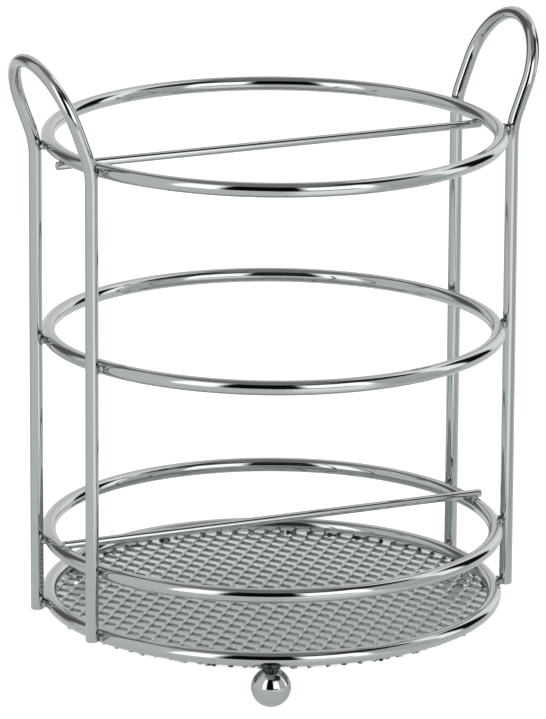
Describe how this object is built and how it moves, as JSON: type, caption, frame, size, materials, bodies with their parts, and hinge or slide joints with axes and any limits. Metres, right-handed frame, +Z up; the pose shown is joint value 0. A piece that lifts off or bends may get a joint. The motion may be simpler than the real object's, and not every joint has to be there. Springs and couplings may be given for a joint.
{
  "type": "cutlery holder",
  "caption": "Round open cutlery holder of chrome-plated wire rings with leaning loop handles, divider rods, an expanded-metal base and ball feet.",
  "frame": {"origin": "on the resting plane, below the middle of the base", "axes": "+Z up; the two handle frames stand at -X and +X and the divider rods run along X; -Y is the front"},
  "size_m": [0.1411, 0.1198, 0.1618],
  "materials": {
    "wire": "bright chrome plating on drawn steel wire",
    "expanded_mesh": "chrome plating on raised expanded steel, with sheared strand edges",
    "ball": "bright chrome plating on a solid steel ball"
  },
  "bodies": {
    "root": {"top_rim_ring": "wire", "middle_ring": "wire", "lower_guard_ring": "wire", "base_ring": "wire", "left_handle_frame": "wire", "right_handle_frame": "wire", "top_divider_rod": "wire", "lower_divider_rod": "wire", "base_mesh_panel": "expanded_mesh", "ball_foot_front": "ball", "ball_foot_right": "ball", "ball_foot_rear": "ball"}
  },
  "joints": []
}
